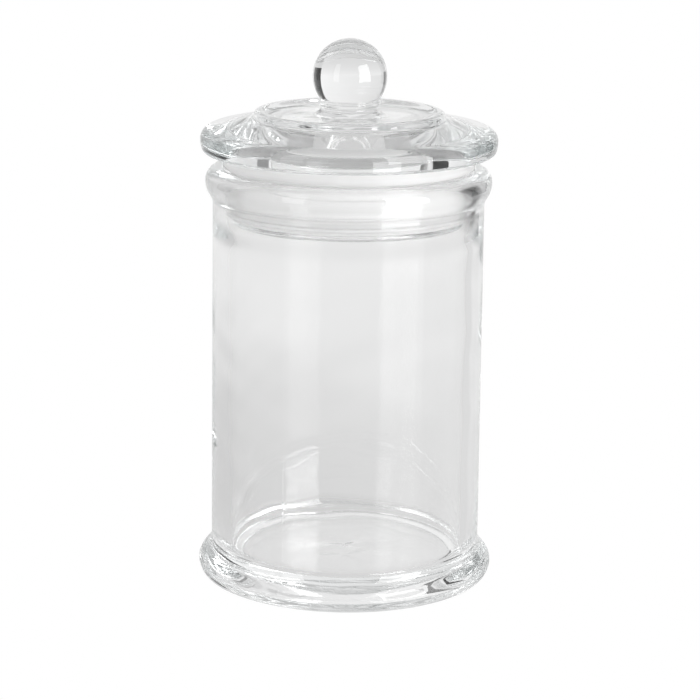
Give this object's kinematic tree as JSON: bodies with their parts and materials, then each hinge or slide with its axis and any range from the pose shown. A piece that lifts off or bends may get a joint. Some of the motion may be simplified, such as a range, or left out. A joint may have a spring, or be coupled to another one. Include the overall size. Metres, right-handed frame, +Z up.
{
  "type": "apothecary jar",
  "caption": "Round clear glass storage jar with a flanged foot and a rolled mouth bead, closed by a ball-knob glass lid in a ribbed seal ring.",
  "frame": {"origin": "centre of the foot, on the surface that the jar stands on", "axes": "+Z up, through the middle of the jar, lid and knob; X and Y are any two level directions, because every piece is round about Z"},
  "size_m": [0.0966, 0.0966, 0.1751],
  "materials": {
    "jar_glass": "clear pressed soda-lime glass, fire-polished, slightly wavy inside",
    "lid_glass": "clear pressed soda-lime glass, thick brim, faint grey-green edge",
    "seal": "soft translucent plastic, satin, ribbed"
  },
  "bodies": {
    "jar": {"jar_body": "jar_glass"},
    "seal": {"seal_ring": "seal"},
    "lid": {"lid": "lid_glass", "knob": "lid_glass"}
  },
  "joints": [
    {"name": "lid_lift", "type": "slide", "parent": "jar", "child": "seal", "axis": [0, 0, 1], "range_m": [0, 0.06]},
    {"name": "lid_turn", "type": "hinge", "parent": "seal", "child": "lid", "pos_m": [0, 0, 0.1392], "axis": [0, 0, 1], "continuous": true}
  ]
}
